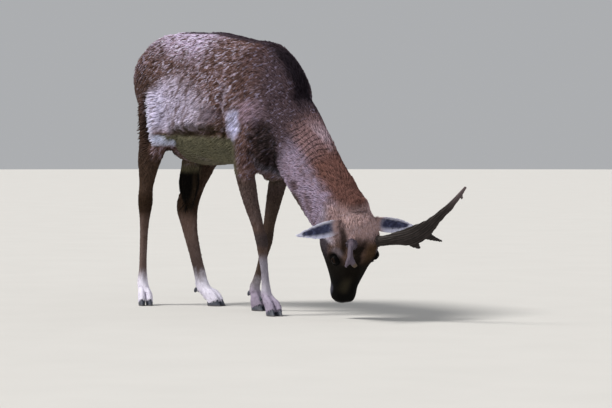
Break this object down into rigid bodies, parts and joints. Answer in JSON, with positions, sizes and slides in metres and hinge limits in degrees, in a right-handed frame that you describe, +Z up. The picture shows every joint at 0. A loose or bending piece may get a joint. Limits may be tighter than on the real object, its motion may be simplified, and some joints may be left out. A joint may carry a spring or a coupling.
{
  "type": "fallow deer",
  "caption": "Life-size still model of a fallow deer buck in winter coat, standing and grazing with its head lowered; one broad antler and one broken short.",
  "frame": {"origin": "on the ground, under the middle of the model's overall box", "axes": "+X forward along the body, from the rump towards the head; +Y to the deer's left; +Z up; the hooves stand on z = 0"},
  "size_m": [1.5362, 0.4292, 0.9699],
  "materials": {
    "coat": "short matt hair, grey-brown",
    "pale_coat": "short matt hair, whitish",
    "dark_hair": "long hair, brown-black",
    "hoof_horn": null,
    "antler_bone": null,
    "eye": "wet and clear over a near-black iris"
  },
  "bodies": {
    "root": {"trunk": "coat", "hindquarters": "coat", "neck": "coat", "head": "coat", "ear_left": "coat", "ear_right": "coat", "hind_right_shank": "coat", "hind_right_cannon": "coat", "hind_left_shank": "coat", "hind_left_cannon": "coat", "fore_right_forearm": "coat", "fore_right_cannon": "coat", "fore_left_forearm": "coat", "fore_left_cannon": "coat", "hind_right_pastern": "pale_coat", "hind_left_pastern": "pale_coat", "fore_right_pastern": "pale_coat", "fore_left_pastern": "pale_coat", "tail": "dark_hair", "prepuce_brush": "dark_hair", "eye_left": "eye", "eye_right": "eye", "antler_left_beam": "antler_bone", "antler_left_brow_tine": "antler_bone", "antler_left_second_tine": "antler_bone", "antler_right_beam": "antler_bone", "antler_right_outer_tine": "antler_bone", "hind_right_hoof_left": "hoof_horn", "hind_right_dewclaw_left": "hoof_horn", "hind_right_hoof_right": "hoof_horn", "hind_right_dewclaw_right": "hoof_horn", "hind_left_hoof_left": "hoof_horn", "hind_left_dewclaw_left": "hoof_horn", "hind_left_hoof_right": "hoof_horn", "hind_left_dewclaw_right": "hoof_horn", "fore_right_hoof_left": "hoof_horn", "fore_right_dewclaw_left": "hoof_horn", "fore_right_hoof_right": "hoof_horn", "fore_right_dewclaw_right": "hoof_horn", "fore_left_hoof_left": "hoof_horn", "fore_left_dewclaw_left": "hoof_horn", "fore_left_hoof_right": "hoof_horn", "fore_left_dewclaw_right": "hoof_horn"}
  },
  "joints": []
}
